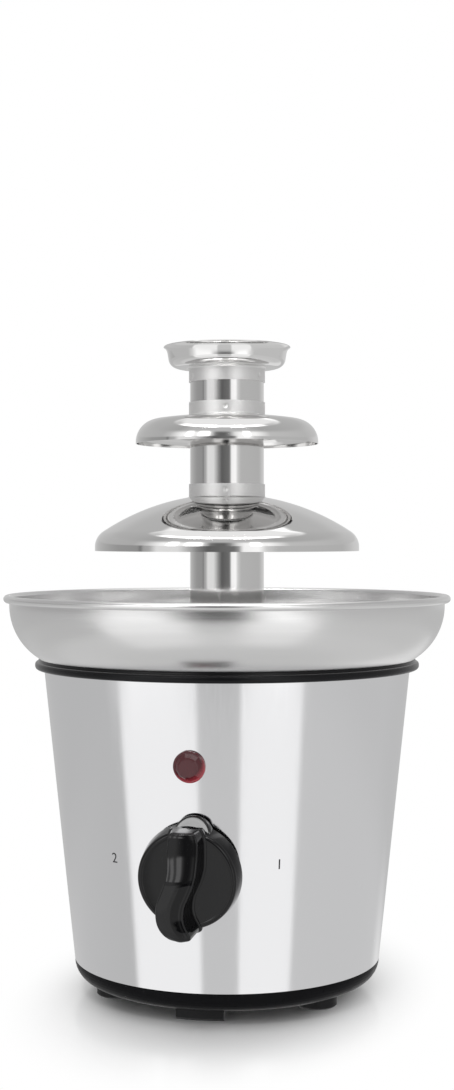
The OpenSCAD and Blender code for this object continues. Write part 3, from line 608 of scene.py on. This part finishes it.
gloss_black = finish_of("gloss_black", (0.0035, 0.0035, 0.004), 0.07, Specular_IOR_Level=0.36)
vary(gloss_black, noise_in(gloss_black, 220), "Roughness", 0.05, 0.09)
emboss(gloss_black, noise_in(gloss_black, 900), 0.00001, 0.3)
disc_black = finish_of("disc_black", (0.0045, 0.0045, 0.005), 0.08)
# Painted shade: the disc's specular level falls on its flank, nearer the shell than a set height, so the
# flank reads dark.
painted_shade_below, painted_shade_gone_above = knob_face - 1.7, knob_face - 1.2
wall_out = (0, -math.cos(shell_tilt), -math.sin(shell_tilt))
wall_at = shell_r(knob_z) * math.cos(shell_tilt) - knob_z * math.sin(shell_tilt)
disc_tree = disc_black.node_tree
disc_out = add_node(disc_tree, "ShaderNodeVectorMath", {0: object_place(disc_tree), 1: wall_out},
                    operation="DOT_PRODUCT").outputs["Value"]
flank_painted_shade = add_node(disc_tree, "ShaderNodeMapRange",
                     {"Value": disc_out, "From Min": (wall_at + painted_shade_below) * MM,
                      "From Max": (wall_at + painted_shade_gone_above) * MM,
                      "To Min": noise_low, "To Max": noise_high}).outputs[0]
vary(disc_black, flank_painted_shade, "Specular IOR Level", 0.06, 0.32)
vary(disc_black, noise_in(disc_black, 220), "Roughness", 0.06, 0.10)
hollow_r, hollow_top, plate_out, back_edge, flare = 8.4, 3.6, knob_face - 0.3, 0.5, 8
knob = skin("selector_knob", knob_round(outline_of(
    [(hollow_r, knob_back), (knob_r - back_edge, knob_back)],
    bend(knob_r - back_edge, knob_back + back_edge, back_edge, -90, flare, 6),
    bend(knob_rim - knob_edge, knob_face - knob_edge, knob_edge, flare, 84, 18),
    [(knob_rim - 1.8, knob_face - 0.02), (knob_rim - 2.05, knob_face - 0.1),
     (knob_rim - 2.25, knob_face - 0.26), (knob_rim - 2.5, plate_out),
     (hollow_r, plate_out), (0.0, plate_out), (0.0, hollow_top), (hollow_r, hollow_top)])))
dress(knob, disc_black, "knob", "gloss_black", "control_knob")
dress(skin("selector_knob_tab", knob_tab()), gloss_black, "knob", "gloss_black")
grip = skin("selector_knob_grip", knob_grip(), caps=True)
grip.visible_glossy = False
dress(grip, gloss_black, "knob", "gloss_black")


# Auger: one black moulding, a right-handed helical flight on a round core. A socket in its foot
# drops over the flatted end of the drive shaft.
auger_z, auger_top, core_r, flight_r, pitch = 146.1, 285.4, 5.0, 15.6, 25.0


def flight():
    """The flight's cross-section carried up a helix: after a turn of a it stands higher by pitch * a / 360,
    with filleted roots on the core, faces that thin outwards and a rounded edge. It ends in front."""
    run_out, edge_r = 1.6, 0.7
    low, high = auger_z + run_out, auger_top - run_out
    turns = (high - low) / pitch
    a = np.radians(-90 - 360 * turns * np.linspace(1, 0, 400))[:, None]
    z = np.linspace(low, high, 400)[:, None]
    edge = np.radians(np.linspace(-80, 80, 9))
    tip = np.stack([flight_r - edge_r + edge_r * np.cos(edge), edge_r * np.sin(edge)], -1)
    root = np.array([(core_r + 2.0, 1.1), (core_r + 0.8, 1.3), (core_r + 0.15, 1.75), (core_r - 0.6, 2.1)])
    section = np.concatenate([root[::-1] * (1, -1), tip, root])
    keep = np.clip(np.minimum(z - auger_z, auger_top - z) / root[-1, 1], 0, 1)
    r, dz = section[:, 0][None, :], section[:, 1][None, :] * keep
    return np.stack([r * np.cos(a), r * np.sin(a), z + dz], -1), False, True


auger_plastic = finish_of("auger_plastic", (0.012, 0.012, 0.013), 0.26, Specular_IOR_Level=0.8)
vary(auger_plastic, noise_in(auger_plastic, 60), "Roughness", 0.23, 0.30)
socket_r, socket_top, top_round = 3.1, auger_z + 15, 0.8
core = turned(outline_of(
    [(socket_r, auger_z), (core_r - 0.4, auger_z), (core_r, auger_z + 0.4)],
    [(core_r, auger_top - top_round)],
    bend(core_r - top_round, auger_top - top_round, top_round, 0, 90, 6),
    [(1.4, auger_top), (1.1, auger_top - 0.4), (0, auger_top - 0.4)],
    [(0, socket_top), (socket_r, socket_top)]), 96)
auger = skin("auger_moulding", flight(), core, caps=True)
dress(auger, auger_plastic, "auger", "auger_plastic", "auger")

# Tower bracket: black moulding that carries the tube. Three hollow arms end in posts that
# stand over the pins in the bowl; all edges are softened as a mould leaves them.
bracket_plastic = finish_of("bracket_plastic", (0.009, 0.009, 0.010), 0.30, Specular_IOR_Level=0.4)
vary(bracket_plastic, noise_in(bracket_plastic, 350), "Roughness", 0.28, 0.42)
emboss(bracket_plastic, noise_in(bracket_plastic, 2400), 0.00003, 0.5)
bracket_mesh = nodes["tower_bracket"].data.copy()
bracket_mesh.materials.clear()
work = bmesh.new()
work.from_mesh(bracket_mesh)
bmesh.ops.remove_doubles(work, verts=work.verts, dist=2e-6)
bmesh.ops.dissolve_limit(work, angle_limit=math.radians(1.0), verts=work.verts, edges=work.edges)
work.to_mesh(bracket_mesh)
work.free()
bracket_mesh.shade_smooth()
bracket_mesh.set_sharp_from_angle(angle=math.radians(30))
bracket = bpy.data.objects.new("tower_bracket_moulding", bracket_mesh)
scene.collection.objects.link(bracket)
soften = bracket.modifiers.new("soften", "BEVEL")
soften.width = 0.00035
soften.segments = 2
soften.limit_method = "ANGLE"
soften.angle_limit = math.radians(40)
soften.harden_normals = True
dress(bracket, bracket_plastic, "tower", "bracket_plastic", "tower_bracket")


# Tower tube and tiers: drawn stainless tube with two domed tiers and a cup pressed from thin sheet,
# each on a sleeve that is pinched to the tube. All is polished to a mirror but the sleeves, left satin.
def sheet_outline(path, wall):
    """Outline of sheet metal along a path: the path, then back along it moved by the wall to its left."""
    p = np.asarray(path, float)
    d = np.diff(p, axis=0)
    d = d / np.linalg.norm(d, axis=1)[:, None]
    left = np.stack([-d[:, 1], d[:, 0]], -1)
    corner = (left[:-1] + left[1:]) / (1 + (left[:-1] * left[1:]).sum(1))[:, None]
    return np.concatenate([p, (p + wall * np.concatenate([left[:1], corner, left[-1:]]))[::-1]])


tube_r, tube_sheet, tier_sheet, tier_turns = 16.6, 0.6, 0.5, 432
tube_foot, tube_top = bowl_floor + 5, bowl_floor + 133.9
sleeve_r = tube_r + 0.04
tower_steel = finish_of("tower_steel", (0.78, 0.775, 0.77), 0.07, 1.0)
vary(tower_steel, noise_in(tower_steel, 900, (1, 1, 0.03)), "Roughness", 0.05, 0.09)
emboss(tower_steel, noise_in(tower_steel, 2400, (1, 1, 0.012), 2.0), 0.000004, 0.5)
tube_bore = tube_r - tube_sheet
tube = skin("tower_tube_drawn", turned(
    [(tube_bore, tube_foot), (tube_r, tube_foot), (tube_r, tube_top), (tube_bore, tube_top)]))
dress(tube, tower_steel, "tower", "tower_steel", "tower_tube")


def tier_path(r, crown, edge, lip, sleeve):
    """Half-section of a tier from its sleeve outwards: a crown arc about a centre on the axis, an edge arc
    that meets it smoothly and ends upright at the widest ring, and a short straight lip below."""
    centre = -math.sqrt((crown - edge) ** 2 - (r - edge) ** 2)
    tilt = math.degrees(math.asin((r - edge) / (crown - edge)))
    neck, fillet = sleeve_r + tier_sheet, 0.7
    first = math.degrees(math.asin((neck + 0.8) / crown))
    foot = centre + crown * math.cos(math.radians(first))
    rows = np.linspace(foot + sleeve, foot + 0.9, 20)
    return outline_of(np.stack([np.full(20, neck), rows], -1),
                      bend(neck + fillet, foot + fillet + 0.04, fillet, 190, 258, 7),
                      bend(0, centre, crown, 90 - first, 90 - tilt, 36),
                      bend(r - edge, 0, edge, 90 - tilt, 0, 24)[1:], [(r, -lip)]), foot


def punched(grid, *marks, depth=0.4, spread=0.75):
    """Pushes a turned sheet towards the axis by a bell curve about each mark, a bearing and a height."""
    points, round_u, round_v = grid
    x, y, z = np.moveaxis(points, -1, 0)
    r = np.hypot(x, y)
    push = 0 * r
    for bearing, height in marks:
        turn = np.angle(np.exp(1j * (np.arctan2(x, -y) - math.radians(bearing))))
        bell = depth * np.exp(-((r * turn) ** 2 + (z - height) ** 2) / spread ** 2)
        push += np.where(r < sleeve_r + 1.2, bell, 0)
    return np.stack([x * (1 - push / r), y * (1 - push / r), z], -1), round_u, round_v


tier_steel = finish_of("tier_steel", (0.79, 0.785, 0.78), 0.06, 1.0)
satin_r, mirror_r = (sleeve_r + 0.7) * MM, (sleeve_r + 1.6) * MM
tier_tree = tier_steel.node_tree
off_sleeve = add_node(tier_tree, "ShaderNodeMapRange",
                      {"Value": axis_distance(tier_tree), "From Min": satin_r, "From Max": mirror_r,
                       "To Min": noise_low, "To Max": noise_high}).outputs[0]
vary(tier_steel, off_sleeve, "Roughness", 0.46, 0.065)
emboss(tier_steel, spin_noise_in(tier_steel, 260, 1.0), 0.00003, 0.25)
sleeve_height, mark_height = 6.0, 3.2
for name, node, tier_z, r, crown, edge, lip in (
        ("lower_tier_dome", "lower_tier", bowl_floor + 52.8, 59.4, 100.386, 8.352, 1.8),
        ("middle_tier_dome", "middle_tier", bowl_floor + 100.0, 41.1, 224.406, 10.275, 0.8)):
    path, foot = tier_path(r, crown, edge, lip, sleeve_height)
    marks = [(bearing, tier_z + foot + mark_height) for bearing in (9, 129, 249)]
    sheet = turned(sheet_outline(path, -tier_sheet) + (0, tier_z), tier_turns)
    dress(skin(name, punched(sheet, *marks)), tier_steel, "tower", "tower_steel", node)

cup_z, cup_depth, cup_lip = bowl_floor + 133.4, 9.2, 28.6
cup_neck = sleeve_r + tier_sheet
cup_path = outline_of(
    np.stack([np.full(20, cup_neck), np.linspace(-6.5, -1.2, 20)], -1),
    bend(cup_neck + 1.1, -1.1, 1.1, 180, 90, 8),
    bend(cup_lip - 6.4, 4.2, 4.2, -90, -8, 16),
    [(cup_lip - 1.75, cup_depth - 2.6), (cup_lip - 1.45, cup_depth - 1.6), (cup_lip - 0.9, cup_depth - 0.6),
     (cup_lip, cup_depth)])
cup_marks = [(bearing, cup_z - 4.2) for bearing in (-51, 69, 189)]
cup_sheet = turned(sheet_outline(cup_path, tier_sheet) + (0, cup_z), tier_turns)
cup = skin("top_cup_pressed", punched(cup_sheet, *cup_marks))
dress(cup, tier_steel, "tower", "tower_steel", "top_cup")
